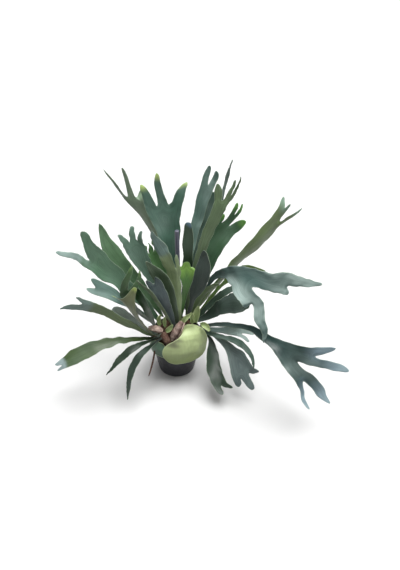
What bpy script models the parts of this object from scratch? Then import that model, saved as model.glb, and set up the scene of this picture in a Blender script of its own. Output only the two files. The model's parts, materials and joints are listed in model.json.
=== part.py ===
"""A potted staghorn fern: a nursery pot, its potting mix, a plant stake, the rhizome with its
old bases and shield fronds, and every antler frond as a thin leathery solid of its own."""

import math

import bmesh
import bpy
import numpy as np
from mathutils import Vector

MM = 0.001

# The pot.
POT_TOP_DIAMETER = 120 * MM
POT_BASE_DIAMETER = 86 * MM
POT_HEIGHT = 105 * MM
POT_WALL = 1.6 * MM
RIM_BAND_HEIGHT = 11 * MM
RIM_BAND_PROUD = 1.8 * MM
DRAIN_HOLES = 6
DRAIN_HOLE_DIAMETER = 9 * MM
SOIL_BELOW_RIM = 10 * MM

# The plant.
CROWN_ABOVE_RIM = 45 * MM
FROND_SPREAD = 1.0
FROND_THICKNESS = 1.2 * MM
SHIELD_THICKNESS = 1.6 * MM
RHIZOME_INSET_SIDES = 9.6 * MM
RHIZOME_INSET_FRONT = 18.6 * MM
STAKE_DIAMETER = 10 * MM
STAKE_LENGTH = 305 * MM
STAKE_BURIED = 35 * MM

# The room kept between pieces that touch on the real plant.
FIT_GAP = 0.3 * MM

SOIL_TOP = POT_HEIGHT - SOIL_BELOW_RIM

# The plant's points are laid out in millimetres from the crown, for a rim of this radius with the
# crown this far above it, and settled() carries them to the sizes above.
LAID_RIM_RADIUS = 60
LAID_CROWN = 45
LAID_CORE = 38
FAR = 1000


def settled(right, back, up):
    """A laid-out point of the plant in its real place. It is stretched in steps that never fold, out
    from the pot's axis and up from its rim, so that pieces that clear one another keep doing so."""
    wider = POT_TOP_DIAMETER / 2 / MM - LAID_RIM_RADIUS
    out = math.hypot(right, back)
    reach = np.interp(out, (0, LAID_CORE, LAID_RIM_RADIUS, LAID_RIM_RADIUS + FAR),
                      (0, LAID_CORE + wider, LAID_RIM_RADIUS + wider,
                       LAID_RIM_RADIUS + wider + FAR * FROND_SPREAD))
    crown = CROWN_ABOVE_RIM / MM
    high = np.interp(up, (-LAID_CROWN - FAR, -LAID_CROWN, 0, FAR),
                     (-FAR, 0, crown, crown + FAR * FROND_SPREAD))
    turn = reach / out if out else 1
    return Vector((right * turn * MM, back * turn * MM, POT_HEIGHT + high * MM))


for old in list(bpy.data.objects):
    bpy.data.objects.remove(old)

part = bpy.data.collections.new("potted_staghorn_fern")
cutters = bpy.data.collections.new("cutters")
for collection in (part, cutters):
    bpy.context.scene.collection.children.link(collection)


def material(name, colour, roughness):
    made = bpy.data.materials.new(name)
    made.use_nodes = True
    shader = made.node_tree.nodes["Principled BSDF"]
    shader.inputs["Base Color"].default_value = (*colour, 1)
    shader.inputs["Roughness"].default_value = roughness
    shader.inputs["Metallic"].default_value = 0
    made.diffuse_color = (*colour, 1)
    return made


POT_PLASTIC = material("pot_plastic", (0.014, 0.015, 0.022), 0.5)
STAKE_PLASTIC = material("stake_plastic", (0.1, 0.1, 0.16), 0.45)
PEAT = material("peat", (0.035, 0.022, 0.014), 0.95)
BARK = material("brown_bark", (0.2, 0.11, 0.07), 0.85)
LEAF = material("antler_leaf", (0.11, 0.18, 0.12), 0.55)
SHIELD_LEAF = material("shield_leaf", (0.38, 0.46, 0.21), 0.55)
NEW_LEAF = material("new_leaf", (0.3, 0.4, 0.16), 0.6)
DEAD_LEAF = material("dead_leaf", (0.08, 0.045, 0.03), 0.9)


def show(obj, finish, angle=40):
    obj.data.materials.append(finish)
    if obj.type == "MESH":
        obj.data.shade_smooth()
        obj.data.set_sharp_from_angle(angle=math.radians(angle))
    part.objects.link(obj)
    return obj


def mesh_object(name, points, faces):
    mesh = bpy.data.meshes.new(name)
    mesh.from_pydata([tuple(p) for p in points], [], faces)
    mesh.update()
    return bpy.data.objects.new(name, mesh)


def turned(name, profile, finish, steps=40, squash=1.0):
    """A solid of revolution from (radius, height) points, listed from the top down the outer side."""
    mesh = bpy.data.meshes.new(name)
    points = [(r, 0, z) for r, z in profile]
    pairs = [(i, (i + 1) % len(points)) for i in range(len(points))]
    edges = [pair for pair in pairs if any(profile[i][0] > 0 for i in pair)]
    mesh.from_pydata(points, edges, [])
    obj = bpy.data.objects.new(name, mesh)
    screw = obj.modifiers.new("turn", "SCREW")
    screw.steps = steps
    screw.render_steps = steps
    screw.use_merge_vertices = True
    screw.merge_threshold = 0.00001
    screw.use_normal_calculate = True
    obj.scale = (1, squash, 1)
    return show(obj, finish)


def boolean(obj, cutter, operation):
    step = obj.modifiers.new(operation.lower(), "BOOLEAN")
    step.operation = operation
    step.solver = "EXACT"
    step.object = cutter
    cutter.hide_render = True
    cutter.display_type = "WIRE"
    cutters.objects.link(cutter)


# %% the pot, turned as one shell with a thicker rim band and a raised centre under its base

top_r = POT_TOP_DIAMETER / 2
base_r = POT_BASE_DIAMETER / 2
band_z = POT_HEIGHT - RIM_BAND_HEIGHT


def wall_radius(z):
    return base_r + (top_r - RIM_BAND_PROUD - base_r) * z / band_z


floor_z = 2.4 * MM
mid_z = 0.57 * POT_HEIGHT
mound_at = (4 * MM, -6 * MM)
mound_radius = wall_radius(band_z) - POT_WALL - RHIZOME_INSET_SIDES
mound_depth = wall_radius(band_z) - POT_WALL - RHIZOME_INSET_FRONT
pot = turned(
    "pot",
    [
        (top_r - 0.5 * MM, POT_HEIGHT),
        (top_r, POT_HEIGHT - 0.8 * MM),
        (top_r - 0.6 * MM, band_z),
        (wall_radius(band_z), band_z - 0.6 * MM),
        (wall_radius(mid_z), mid_z),
        (base_r, 1.2 * MM),
        (base_r - 1.2 * MM, 0),
        (0, 0),
        (0, floor_z),
        (base_r - POT_WALL, floor_z),
        (wall_radius(mid_z) - POT_WALL, mid_z),
        (wall_radius(band_z) - POT_WALL, band_z - 0.6 * MM),
        (top_r - 0.6 * MM - POT_WALL, band_z + 1.2 * MM),
        (top_r - 0.5 * MM - POT_WALL, POT_HEIGHT),
    ],
    POT_PLASTIC,
)


hole_ring = bmesh.new()
for n in range(DRAIN_HOLES):
    turn = 2 * math.pi * n / DRAIN_HOLES
    made = bmesh.ops.create_cone(hole_ring, cap_ends=True, segments=16, radius1=DRAIN_HOLE_DIAMETER / 2,
                                 radius2=DRAIN_HOLE_DIAMETER / 2, depth=4 * floor_z)
    across = Vector((math.cos(turn), math.sin(turn), 0)) * base_r * 0.66
    bmesh.ops.translate(hole_ring, verts=made["verts"], vec=across)
hole_mesh = bpy.data.meshes.new("drain_holes")
hole_ring.to_mesh(hole_mesh)
hole_ring.free()
boolean(pot, bpy.data.objects.new("drain_holes", hole_mesh), "DIFFERENCE")


# %% the potting mix fills the pot, and the stake stands in it behind the plant

inside = FIT_GAP + POT_WALL
soil = turned(
    "potting_mix",
    [
        (0, SOIL_TOP),
        (wall_radius(band_z) - inside, SOIL_TOP),
        (wall_radius(band_z) - inside, band_z - 0.6 * MM),
        (wall_radius(mid_z) - inside, mid_z),
        (base_r - inside, floor_z + FIT_GAP),
        (0, floor_z + FIT_GAP),
    ],
    PEAT,
)


def rod(radius, low, high, at):
    shape = bmesh.new()
    bmesh.ops.create_cone(shape, cap_ends=True, segments=16, radius1=radius, radius2=radius,
                          depth=high - low)
    bmesh.ops.translate(shape, verts=shape.verts, vec=(*at, (low + high) / 2))
    mesh = bpy.data.meshes.new("rod")
    shape.to_mesh(mesh)
    shape.free()
    return mesh


stake_at = (7 * MM, mound_at[1] + mound_depth + FIT_GAP + STAKE_DIAMETER / 2)
stake_foot = SOIL_TOP - STAKE_BURIED
stake = bpy.data.objects.new(
    "plant_stake", rod(STAKE_DIAMETER / 2, stake_foot, stake_foot + STAKE_LENGTH, stake_at))
round_edges = stake.modifiers.new("round edges", "BEVEL")
round_edges.width = 1 * MM
round_edges.segments = 2
round_edges.limit_method = "ANGLE"
show(stake, STAKE_PLASTIC)
stake_hole = rod(STAKE_DIAMETER / 2 + FIT_GAP, stake_foot - FIT_GAP, POT_HEIGHT, stake_at)
boolean(soil, bpy.data.objects.new("stake_hole", stake_hole), "DIFFERENCE")


# %% the rhizome, a low furry mound that every frond grows from

flank = [(0, 1), (0.45, 0), (0.72, -3), (0.88, -8), (0.97, -18), (1, -34), (1, -52)]
rhizome = turned(
    "rhizome",
    [(across * mound_radius, settled(0, 0, up).z) for across, up in flank]
    + [(across * mound_radius, SOIL_TOP + FIT_GAP) for across in (0.97, 0)],
    BARK,
    steps=24,
    squash=mound_depth / mound_radius,
)
rhizome.location = (*mound_at, 0)


# %% the shield fronds, which grow flat over the mound and the rim of the pot

def draped(name, rows, finish):
    """A shield: rows of (radius, height over the rim, first heading, last heading), in millimetres
    and degrees round the pot's axis from the front towards the right, with the outermost row last."""
    points, faces, columns = [], [], 5
    for radius, height, first, last in rows:
        for c in range(columns + 1):
            heading = math.radians(first + (last - first) * c / columns)
            right, back = radius * math.sin(heading), -radius * math.cos(heading)
            points.append(settled(right, back, height - LAID_CROWN))
    for k in range(len(rows) - 1):
        for c in range(columns):
            a = k * (columns + 1) + c
            faces.append((a, a + columns + 1, a + columns + 2, a + 1))
    obj = mesh_object(name, points, faces)
    round_off = obj.modifiers.new("round off", "SUBSURF")
    round_off.levels = 1
    round_off.render_levels = 1
    thick = obj.modifiers.new("thick", "SOLIDIFY")
    thick.thickness = SHIELD_THICKNESS
    thick.offset = 0
    return show(obj, finish, angle=60)


draped("shield_frond_front",
       [(36, 46, 28, 50), (52, 49, 20, 60), (69, 39, 9, 66), (74, 29, -14, 68), (78, 14, -22, 69),
        (80, -8, -23, 70), (77, -30, -9, 57)], SHIELD_LEAF)
draped("shield_frond_left",
       [(62, 16, -46, -26), (70, 8, -56, -14), (73, -7, -56, -10), (71, -20, -44, -12)], SHIELD_LEAF)


# %% the curled brown remains of older shields

def roll(name, path, finish=BARK):
    """A rolled-up dry piece, along (right, back, up, radius) points in millimetres from the crown."""
    curve = bpy.data.curves.new(name, "CURVE")
    curve.dimensions = "3D"
    curve.bevel_depth = 1
    curve.bevel_resolution = 2
    curve.use_fill_caps = True
    curve.resolution_u = 3
    spline = curve.splines.new("NURBS")
    spline.points.add(len(path) - 1)
    spline.use_endpoint_u = True
    spline.order_u = 3
    for point, (x, y, z, radius) in zip(spline.points, path):
        point.co = (*settled(x, y, z), 1)
        point.radius = radius * MM
    return show(bpy.data.objects.new(name, curve), finish)


roll("old_base_left", [(-58, -43, 3, 4), (-48, -46, 5, 7), (-38, -48, 3, 8), (-29, -48, -2, 5)])
roll("old_base_middle", [(-24, -51, 0, 4), (-22, -56, -9, 7), (-17, -58, -20, 7), (-13, -59, -29, 4)])
roll("old_base_right",
     [(17, -38, 18, 6), (10, -46, 10, 9), (2, -52, -2, 10), (-3, -54, -13, 8), (-5, -56, -22, 4)])


# %% the fronds

def sideways(along, facing):
    return along.cross(facing).normalized()


def branches(lobe):
    """A lobe is a list of points, or such a list with the list of lobes that it forks into."""
    return lobe if isinstance(lobe, tuple) else (lobe, [])


def tips(lobe):
    return sum(tips(f) for f in branches(lobe)[1]) or 1


def far_end(lobe):
    path, forks = branches(lobe)
    ends = [far_end(f) for f in forks] or [Vector(path[-1][:3])]
    return sum(ends, Vector()) / len(ends)


def frond(name, facings, trunk, lobes=(), cup=0.10, finish=LEAF, thickness=FROND_THICKNESS):
    """One thin frond, as a coarse cage that a subdivision surface rounds off. Its points are (right,
    back, up, width) in millimetres from the crown, and the facings are the way that its upper side
    looks at the root and at the lobes. The lobes share out the width where the frond forks."""
    points, faces = [], []

    def row(centre, along, facing, width, shares):
        side = sideways(along, facing)
        normal = side.cross(along).normalized()
        first = len(points)
        for s in shares:
            lift = cup * width * (4 * (s - 0.5) ** 2 - 0.5)
            points.append(centre + side * (s - 0.5) * width + normal * lift)
        return list(range(first, len(points)))

    def even(cells):
        return [i / cells for i in range(cells + 1)]

    def forked(forks):
        """Where the columns cross the end of a branch, so that each fork starts with its own share."""
        total = sum(branches(f)[0][0][3] for f in forks)
        shares, at = [0.0], 0.0
        for f in forks:
            part_width = branches(f)[0][0][3] / total
            shares += [at + part_width * e for e in even(tips(f))[1:]]
            at += part_width
        return shares

    def grow(lobe, before, back, facing_at, cells):
        path, forks = branches(lobe)
        centres = [Vector(p[:3]) for p in path]
        onward = sum((far_end(f) for f in forks), Vector()) / max(1, len(forks))
        for k, centre in enumerate(centres):
            last = k == len(centres) - 1
            ahead = centre if last and not forks else onward if last else centres[k + 1]
            along = (ahead - (back or centre)).normalized()
            share = k / max(1, len(centres) - 1)
            facing = facing_at(share)
            if last and len(forks) > 1:
                outer = [Vector(branches(f)[0][-1][:3]) - centre for f in (forks[0], forks[-1])]
                if (outer[1] - outer[0]).dot(sideways(along, facing)) < 0:
                    forks = forks[::-1]
            wanted = forked(forks) if forks and len(forks) > 1 else even(cells)
            mixed = [e + (w - e) * share for e, w in zip(even(cells), wanted)]
            now = row(centre, along, facing, path[k][3], mixed)
            if before:
                for j in range(cells):
                    faces.append((before[j], before[j + 1], now[j + 1], now[j]))
            before, back = now, centre
        start = 0
        for f in forks:
            used = tips(f)
            own = before[start : start + used + 1]
            middle = (points[own[0]] + points[own[-1]]) / 2
            grow(f, own, middle, lambda share: Vector(facings[1]), used)
            start += used

    whole = (trunk, list(lobes))
    grow(whole, None, None, lambda share: Vector(facings[0]).lerp(Vector(facings[1]), share),
         max(2, tips(whole)))
    obj = mesh_object(name, [settled(*p) for p in points], faces)
    round_off = obj.modifiers.new("round off", "SUBSURF")
    round_off.levels = 1
    round_off.render_levels = 1
    round_off.boundary_smooth = "ALL"
    thick = obj.modifiers.new("thick", "SOLIDIFY")
    thick.thickness = thickness
    thick.offset = 0
    thick.use_even_offset = True
    return show(obj, finish, angle=60)


frond("frond_tall_rear_left", [(2, 8, 1), (4, 8, 1)],
      [(-17, 24, 1, 8), (-29, 78, 145, 20), (-43, 100, 175, 36), (-67, 118, 209, 40),
       (-90, 128, 231, 45)],
      [[(-122, 136, 253, 11), (-158, 152, 305, 4)], [(-105, 142, 279, 15), (-117, 150, 309, 11)],
       [(-75, 136, 247, 16), (-73, 138, 256, 9)]])
frond("frond_broad_rear_left", [(0, -8, 4), (0, -8, 5)],
      [(-5, 21, 3, 9), (-7, 44, 64, 11), (-6, 62, 113, 25), (-13, 86, 179, 51), (-24, 104, 217, 69)],
      [[(-59, 112, 246, 24), (-72, 122, 281, 11)], [(-35, 124, 264, 22), (-38, 134, 305, 11)],
       [(9, 117, 248, 26), (29, 132, 283, 11)]])
frond("frond_tall_rear_centre", [(-3, -8, 3), (-3, -8, 3)],
      [(14, 18, 3, 10), (28, 56, 121, 18), (41, 84, 170, 21), (56, 104, 223, 27), (69, 118, 269, 32)],
      [[(73, 130, 300, 15), (77, 133, 322, 10)], [(93, 124, 293, 13), (92, 126, 313, 10)]])
frond("frond_dark_strap_rear", [(0, -8, 4), (-2, -8, 4)],
      [(21, 23, 0, 8), (45, 72, 120, 20), (62, 96, 161, 27), (80, 118, 209, 29), (88, 138, 251, 18)])
frond("frond_olive_centre", [(-1, 8, -2), (1, 8, -2)],
      [(25, 1, 4, 9), (46, 10, 145, 20), (69, 20, 203, 22), (86, 30, 251, 25), (99, 38, 281, 27)],
      [[(96, 50, 303, 19), (92, 55, 321, 11)], ([(116, 44, 287, 17)], [[(126, 48, 311, 9),
       (129, 52, 329, 5)], [(133, 42, 310, 5), (139, 45, 341, 3)]])])
frond("frond_edge_on_rear", [(7, -4, 2), (5, -6, 3)],
      [(30, 18, -2, 8), (63, 96, 106, 12), (84, 128, 168, 13), (106, 142, 231, 12), (116, 150, 287, 11),
       (128, 157, 322, 4)])
frond("frond_antler_right", [(-1, -8, 4), (1, -8, 4)],
      [(35, 12, -1, 9), (75, 50, 136, 33), (90, 66, 163, 45), (109, 82, 188, 49)],
      [[(107, 90, 212, 12), (109, 92, 226, 7)], ([(130, 93, 213, 15)], [[(135, 98, 235, 11),
       (138, 100, 248, 7)], [(145, 97, 228, 8), (150, 100, 245, 4)]]), [(145, 86, 200, 22),
       (159, 90, 209, 10)]])
frond("frond_long_olive_right", [(-4, 6, 3), (-3, 7, 2)],
      [(38, 8, -1, 8), (104, 20, 104, 26), (148, 38, 141, 42), (196, 62, 180, 50), (220, 78, 208, 48)],
      [([(237, 86, 235, 27)], [[(240, 98, 266, 15)], [(254, 92, 252, 10)]]), [(252, 80, 218, 11),
       (281, 90, 243, 4)]])
frond("frond_drooping_right", [(-2, -6, 7), (2, -8, 3)],
      [(39, 3, 2, 6), (61, 12, 58, 7), (86, 3, 120, 9), (103, -24, 149, 20), (127, -56, 167, 44),
       (152, -80, 164, 72)],
      [([(202, -88, 166, 36), (226, -84, 172, 52)], [[(262, -86, 166, 22), (308, -90, 168, 6)],
       [(236, -94, 146, 12)]]), ([(161, -102, 135, 42)], [[(180, -116, 108, 26), (190, -130, 80, 15),
       (190, -137, 44, 4)], [(150, -106, 116, 14)]])])
frond("frond_olive_behind_droop", [(-1, 8, 2), (-1, 8, 2)],
      [(45, 8, -7, 7), (112, 11, 104, 13), (146, 8, 140, 22), (168, 4, 143, 20), (183, 0, 138, 11),
       (201, -4, 137, 3)])
frond("frond_largest_low_right", [(0, -4, 8), (3, -8, 4)],
      [(53, -6, -22, 8), (84, -26, 2, 9), (112, -52, 27, 10), (152, -84, 51, 11), (190, -118, 55, 15),
       (222, -146, 45, 32), (247, -162, 32, 56)],
      [([(280, -171, 41, 36)], [[(308, -168, 58, 20), (336, -176, 71, 8)], [(326, -187, 34, 24),
       (362, -202, 29, 7)]]), ([(266, -187, 1, 34)], [[(298, -195, -18, 28), (332, -216, -56, 7)],
       [(266, -199, -28, 8), (276, -212, -48, 10), (285, -222, -62, 6)]])])
frond("frond_short_grey_right", [(0, -4, 8), (0, -5, 8)],
      [(53, 1, -28, 7), (93, -14, -28, 12), (117, -38, -2, 20), (143, -58, 11, 27)],
      [[(163, -66, 13, 11), (175, -72, 14, 8)], [(155, -77, 6, 8), (164, -83, 3, 6)]])
frond("frond_curved_strap_right", [(0, -4, 8), (3, -7, 4)],
      [(54, -4, -38, 8), (77, -17, -34, 9), (98, -50, -10, 12), (134, -76, 0, 14), (158, -96, -2, 13),
       (172, -110, -16, 11), (176, -120, -44, 4)])
frond("frond_hanging_dark_right", [(0, -6, 6), (1, -8, 2)],
      [(54, 6, -37, 8), (79, -5, -34, 9), (106, -50, -26, 12), (128, -66, -36, 25),
       (141, -88, -49, 42), (152, -108, -72, 56)],
      [[(141, -116, -94, 22), (142, -119, -104, 9)], [(168, -119, -93, 22), (180, -126, -105, 7)],
       [(178, -103, -68, 19), (191, -107, -70, 6)]])
frond("frond_by_pot_right", [(1, -6, 5), (3, -8, 2)],
      [(54, -15, -42, 5), (67, -9, -42, 6), (82, -16, -44, 8), (85, -48, -53, 22), (84, -74, -67, 40),
       (90, -100, -83, 33), (100, -118, -94, 30)],
      [[(104, -132, -106, 14), (108, -139, -111, 6)], [(118, -125, -92, 14), (129, -134, -95, 6)]])
frond("frond_wavy_dark_right", [(0, -5, 7), (0, -6, 6)],
      [(46, -10, -2, 9), (81, -16, 21, 20), (98, -26, 54, 33), (124, -32, 68, 46), (146, -36, 74, 44),
       (164, -34, 72, 22)])
frond("frond_dark_strap_right", [(-1, -6, 6), (-1, -6, 6)],
      [(48, 0, -4, 9), (80, 4, 42, 15), (124, 0, 86, 18), (142, -8, 94, 12)],
      [])
frond("frond_short_olive_right", [(-2, 7, 3), (-2, 7, 3)],
      [(32, 0, 3, 8), (56, -1, 60, 18), (70, -1, 81, 27), (87, -3, 97, 24), (102, -6, 103, 11)])
frond("frond_curled_grey_centre", [(-5, -6, 3), (-6, -5, 2)],
      [(26, -14, 2, 9), (44, -20, 88, 15), (56, -24, 122, 48), (66, -20, 152, 50), (68, -8, 176, 27),
       (64, -2, 192, 7)])
frond("frond_small_toothed_centre", [(0, -8, 3), (0, -8, 3)],
      [(12, -12, 4, 7), (24, -8, 92, 10), (29, -4, 120, 32), (27, -2, 140, 44)],
      [[(10, 0, 149, 11)], [(30, 4, 158, 17)], [(45, 2, 139, 14)]])
frond("frond_round_tip_by_stake", [(1, -8, 3), (1, -8, 3)],
      [(16, 7, 3, 7), (29, 28, 138, 22), (29, 42, 174, 24), (30, 52, 209, 22), (31, 56, 225, 13)])
frond("frond_front_olive", [(-1, 8, 1), (0, 8, 0)],
      [(10, -28, 0, 8), (10, -25, 84, 15), (1, -15, 138, 34)],
      [[(8, -8, 163, 11), (4, -2, 182, 6)], [(-17, -9, 182, 25), (-34, -6, 216, 24),
       (-47, -3, 242, 9)]])
frond("frond_bright_toothed_left", [(0, -8, 3), (0, -8, 3)],
      [(-6, 6, 6, 8), (-22, 16, 98, 22), (-42, 26, 150, 36)],
      [[(-65, 31, 182, 8)], [(-57, 35, 189, 8)], [(-48, 36, 199, 9)]])
frond("frond_grey_olive_left", [(-2, -7, 4), (-2, -7, 4)],
      [(6, -32, -2, 9), (-6, -34, 84, 32), (-22, -34, 138, 44), (-56, -30, 180, 9)])
frond("frond_grey_patch_left", [(-2, -6, 6), (-2, -6, 6)],
      [(0, -36, -4, 9), (-15, -45, 81, 22), (-36, -50, 130, 35)],
      [[(-38, -50, 158, 8)], [(-57, -55, 150, 6)]])
frond("frond_narrow_olive_left", [(3, 6, 4), (3, 6, 4)],
      [(-6, -43, 16, 7), (-38, -60, 107, 18), (-60, -70, 148, 17), (-73, -74, 167, 8)])
frond("frond_three_lobed_left", [(-1, -7, 5), (0, -7, 5)],
      [(-20, 4, 4, 9), (-36, 2, 88, 24), (-68, 2, 158, 32), (-86, 6, 196, 44)],
      [[(-103, 6, 212, 15), (-118, 6, 226, 8)],
       [(-86, 14, 226, 15), (-83, 18, 242, 10)],
       [(-68, 10, 220, 11), (-63, 12, 232, 6)]])
frond("frond_pointed_left", [(-2, -6, 5), (-2, -6, 5)],
      [(-26, -6, 4, 9), (-73, -14, 107, 23), (-112, -14, 168, 40), (-138, -8, 208, 34),
       (-152, 0, 256, 6)])
frond("frond_large_far_left", [(-1, -6, 6), (-1, -6, 6)],
      [(-32, -20, 0, 9), (-80, -32, 100, 27), (-128, -46, 158, 40), (-154, -52, 196, 46)],
      [[(-166, -50, 236, 33), (-181, -46, 270, 12)], [(-190, -58, 214, 16), (-214, -63, 224, 12),
       (-235, -66, 230, 6)]])
frond("frond_small_far_left", [(-2, -5, 7), (-2, -5, 7)],
      [(-45, -2, -22, 7), (-94, -31, 62, 14), (-120, -60, 112, 25), (-150, -70, 139, 31)],
      [[(-172, -72, 171, 9)], [(-181, -76, 147, 9)]])
frond("frond_curled_fork_left", [(-4, -6, 4), (-3, -7, 3)],
      [(-43, -11, -14, 7), (-76, -36, 44, 12), (-92, -56, 84, 24), (-102, -66, 122, 44)],
      [[(-94, -65, 160, 15), (-80, -58, 196, 7)], [(-73, -62, 150, 11), (-67, -57, 181, 6)]])
frond("frond_lipped_olive_left", [(5, 6, 2), (5, 6, 2)],
      [(-31, -35, -17, 6), (-47, -51, -20, 8), (-80, -66, 52, 24), (-98, -78, 108, 34)],
      [[(-76, -76, 152, 14)], [(-130, -84, 136, 7)]])
frond("frond_dark_wide_left", [(-4, -6, 4), (-4, -6, 4)],
      [(-39, -24, -14, 7), (-48, -32, 4, 10), (-56, -47, 58, 29), (-71, -59, 106, 37),
       (-78, -60, 136, 10)])
frond("frond_blue_grey_left", [(-3, -6, 5), (-3, -6, 5)],
      [(-40, -25, -24, 6), (-54, -32, -24, 8), (-100, -54, 46, 26), (-130, -65, 90, 29)])
frond("frond_forked_olive_left", [(-2, 8, 3), (-3, 8, 2)],
      [(-37, -29, -20, 5), (-57, -46, -23, 8), (-98, -76, 54, 18), (-142, -94, 94, 24),
       (-173, -104, 122, 33)],
      [[(-199, -105, 149, 8)], [(-212, -110, 127, 15), (-232, -114, 126, 5)]])
frond("frond_lowest_left", [(-1, -5, 7), (-1, -6, 6)],
      [(-39, -27, -35, 6), (-58, -40, -30, 8), (-85, -72, 3, 10), (-135, -94, 14, 18),
       (-178, -112, 12, 32), (-212, -124, -2, 40), (-234, -130, -14, 22)],
      [[(-262, -135, -19, 7)], [(-254, -138, -33, 7)]])
frond("frond_small_low_left", [(-2, -6, 6), (-3, -7, 4)],
      [(-34, -32, -26, 5), (-54, -50, -27, 6), (-69, -78, -6, 8), (-92, -94, -4, 19),
       (-114, -108, -18, 18), (-132, -120, -38, 9), (-152, -130, -57, 3)])
frond("frond_hanging_left", [(-4, -6, 4), (-5, -7, 2)],
      [(-28, -38, -26, 5), (-42, -51, -26, 6), (-52, -60, -31, 8), (-68, -88, -18, 17),
       (-89, -110, -34, 24), (-100, -135, -66, 15), (-105, -155, -106, 4)])


# %% the newest fronds, still short, pale and cupped, and one dead strip that hangs down the pot

frond("new_frond_left_outer", [(1, -8, 4), (1, -8, 4)],
      [(-33, -30, 2, 6), (-40, -31, 18, 16), (-37, -30, 37, 5)], cup=0.3, finish=NEW_LEAF)
frond("new_frond_left_middle", [(1, -8, 4), (1, -8, 4)],
      [(-22, -34, 0, 5), (-26, -35, 17, 10), (-22, -33, 33, 4)], cup=0.3, finish=NEW_LEAF)
frond("new_frond_left_inner", [(-2, -8, 4), (-2, -8, 4)],
      [(-18, -43, -4, 6), (-14, -45, 6, 11), (-7, -45, 12, 4)], cup=0.3, finish=NEW_LEAF)
frond("new_frond_right_tall", [(0, -8, 4), (0, -8, 4)],
      [(46, -34, 10, 5), (52, -34, 38, 9), (60, -31, 58, 13),
       (64, -29, 69, 4)], cup=0.25, finish=NEW_LEAF)
frond("new_frond_right_middle", [(0, -8, 4), (0, -8, 4)],
      [(36, -28, 6, 5), (42, -28, 22, 10), (40, -26, 40, 5)], cup=0.3, finish=NEW_LEAF)
frond("new_frond_right_inner", [(-2, -8, 4), (-2, -8, 4)],
      [(17, -32, 6, 5), (24, -32, 22, 9), (35, -30, 33, 4)], cup=0.3, finish=NEW_LEAF)
frond("new_frond_right_low", [(0, -6, 6), (0, -6, 6)],
      [(58, -32, 3, 5), (66, -37, 5, 10), (75, -40, -3, 4)], cup=0.3, finish=NEW_LEAF)
frond("dead_frond_strip", [(-6, -6, 2), (-6, -6, 1)],
      [(-46, -62, -44, 5), (-48, -68, -56, 6), (-51, -78, -68, 5), (-56, -90, -82, 6),
       (-60, -99, -90, 3)],
      finish=DEAD_LEAF)
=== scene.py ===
# %% [markdown]
# # A potted staghorn fern
# This lesson dresses a bare model of a staghorn fern. The model gives one plain solid for each
# frond, shield, pot and stake. A real fern is softer than that: its fronds are leathery straps that
# fork like antlers, covered in a fine grey felt, and they grow out of a mound of papery brown
# remains. We grow each fine surface out of the plain solid that it replaces, so it stays in place.

import heapq
import json
import math

import bmesh
import bpy
import numpy as np
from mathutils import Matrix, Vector
from mathutils.kdtree import KDTree

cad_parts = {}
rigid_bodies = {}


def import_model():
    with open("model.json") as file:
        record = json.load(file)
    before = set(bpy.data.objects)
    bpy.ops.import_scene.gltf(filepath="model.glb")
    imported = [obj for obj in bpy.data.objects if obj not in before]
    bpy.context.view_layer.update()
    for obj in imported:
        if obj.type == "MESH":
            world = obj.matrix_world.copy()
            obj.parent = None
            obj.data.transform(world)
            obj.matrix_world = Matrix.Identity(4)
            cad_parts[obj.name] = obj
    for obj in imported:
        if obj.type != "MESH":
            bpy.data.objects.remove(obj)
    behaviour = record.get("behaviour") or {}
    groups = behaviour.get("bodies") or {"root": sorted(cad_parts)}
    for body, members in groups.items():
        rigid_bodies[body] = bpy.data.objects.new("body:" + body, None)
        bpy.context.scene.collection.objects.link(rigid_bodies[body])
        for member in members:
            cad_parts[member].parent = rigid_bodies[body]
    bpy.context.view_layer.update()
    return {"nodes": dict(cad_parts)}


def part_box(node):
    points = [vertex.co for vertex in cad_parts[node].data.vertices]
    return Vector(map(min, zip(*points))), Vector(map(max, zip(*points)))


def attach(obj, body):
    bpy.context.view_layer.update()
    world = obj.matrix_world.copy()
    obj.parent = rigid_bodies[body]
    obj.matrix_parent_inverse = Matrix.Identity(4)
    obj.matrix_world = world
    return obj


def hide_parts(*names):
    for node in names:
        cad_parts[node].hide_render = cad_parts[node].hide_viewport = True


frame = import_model()
MM = 0.001
CROWN_LIFT = 2 * MM  # the fronds spring from a point just above the mound
crown = Vector((0, 0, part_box("rhizome")[1].z + CROWN_LIFT))
print("nodes:", len(frame["nodes"]), "crown at", round(crown.z / MM), "mm")

# %% [markdown]
# ## Colours and nodes
# Paint charts and cameras give sRGB values, while the shader works in linear light. One function
# turns a hex code into linear numbers. A material could be wired by hand in the node editor, but a
# function that adds a node with its settings and links can be read, repeated and changed in one
# place, so every finish below is built with it.

# %% Small helpers for materials
def linear(code):
    parts = [int(code[k:k + 2], 16) / 255 for k in (1, 3, 5)]
    return tuple(p / 12.92 if p <= 0.04045 else ((p + 0.055) / 1.055) ** 2.4 for p in parts)


def node(tree, kind, settings=(), **inputs):
    """Adds a node. A setting is an attribute of the node, and an input is a value or a socket."""
    made = tree.nodes.new(kind)
    for key, value in dict(settings).items():
        setattr(made, key, value)
    for key, value in inputs.items():
        by_number = key[0] == "i" and key[1:].isdigit()
        spot = made.inputs[int(key[1:]) if by_number else key.replace("_", " ")]
        if isinstance(value, bpy.types.NodeSocket):
            tree.links.new(value, spot)
        elif isinstance(value, str):
            spot.default_value = (*linear(value), 1)
        else:
            spot.default_value = value
    return made


def new_material(name):
    made = bpy.data.materials.new(name)
    made.use_nodes = True
    return made, made.node_tree, made.node_tree.nodes["Principled BSDF"]


def set_inputs(shader, **values):
    for key, value in values.items():
        shader.inputs[key.replace("_", " ")].default_value = value


def blend_colours(tree, share, first, second):
    mixed = node(tree, "ShaderNodeMix", {"data_type": "RGBA"}, i0=share, i6=first, i7=second)
    return mixed.outputs[2]


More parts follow.
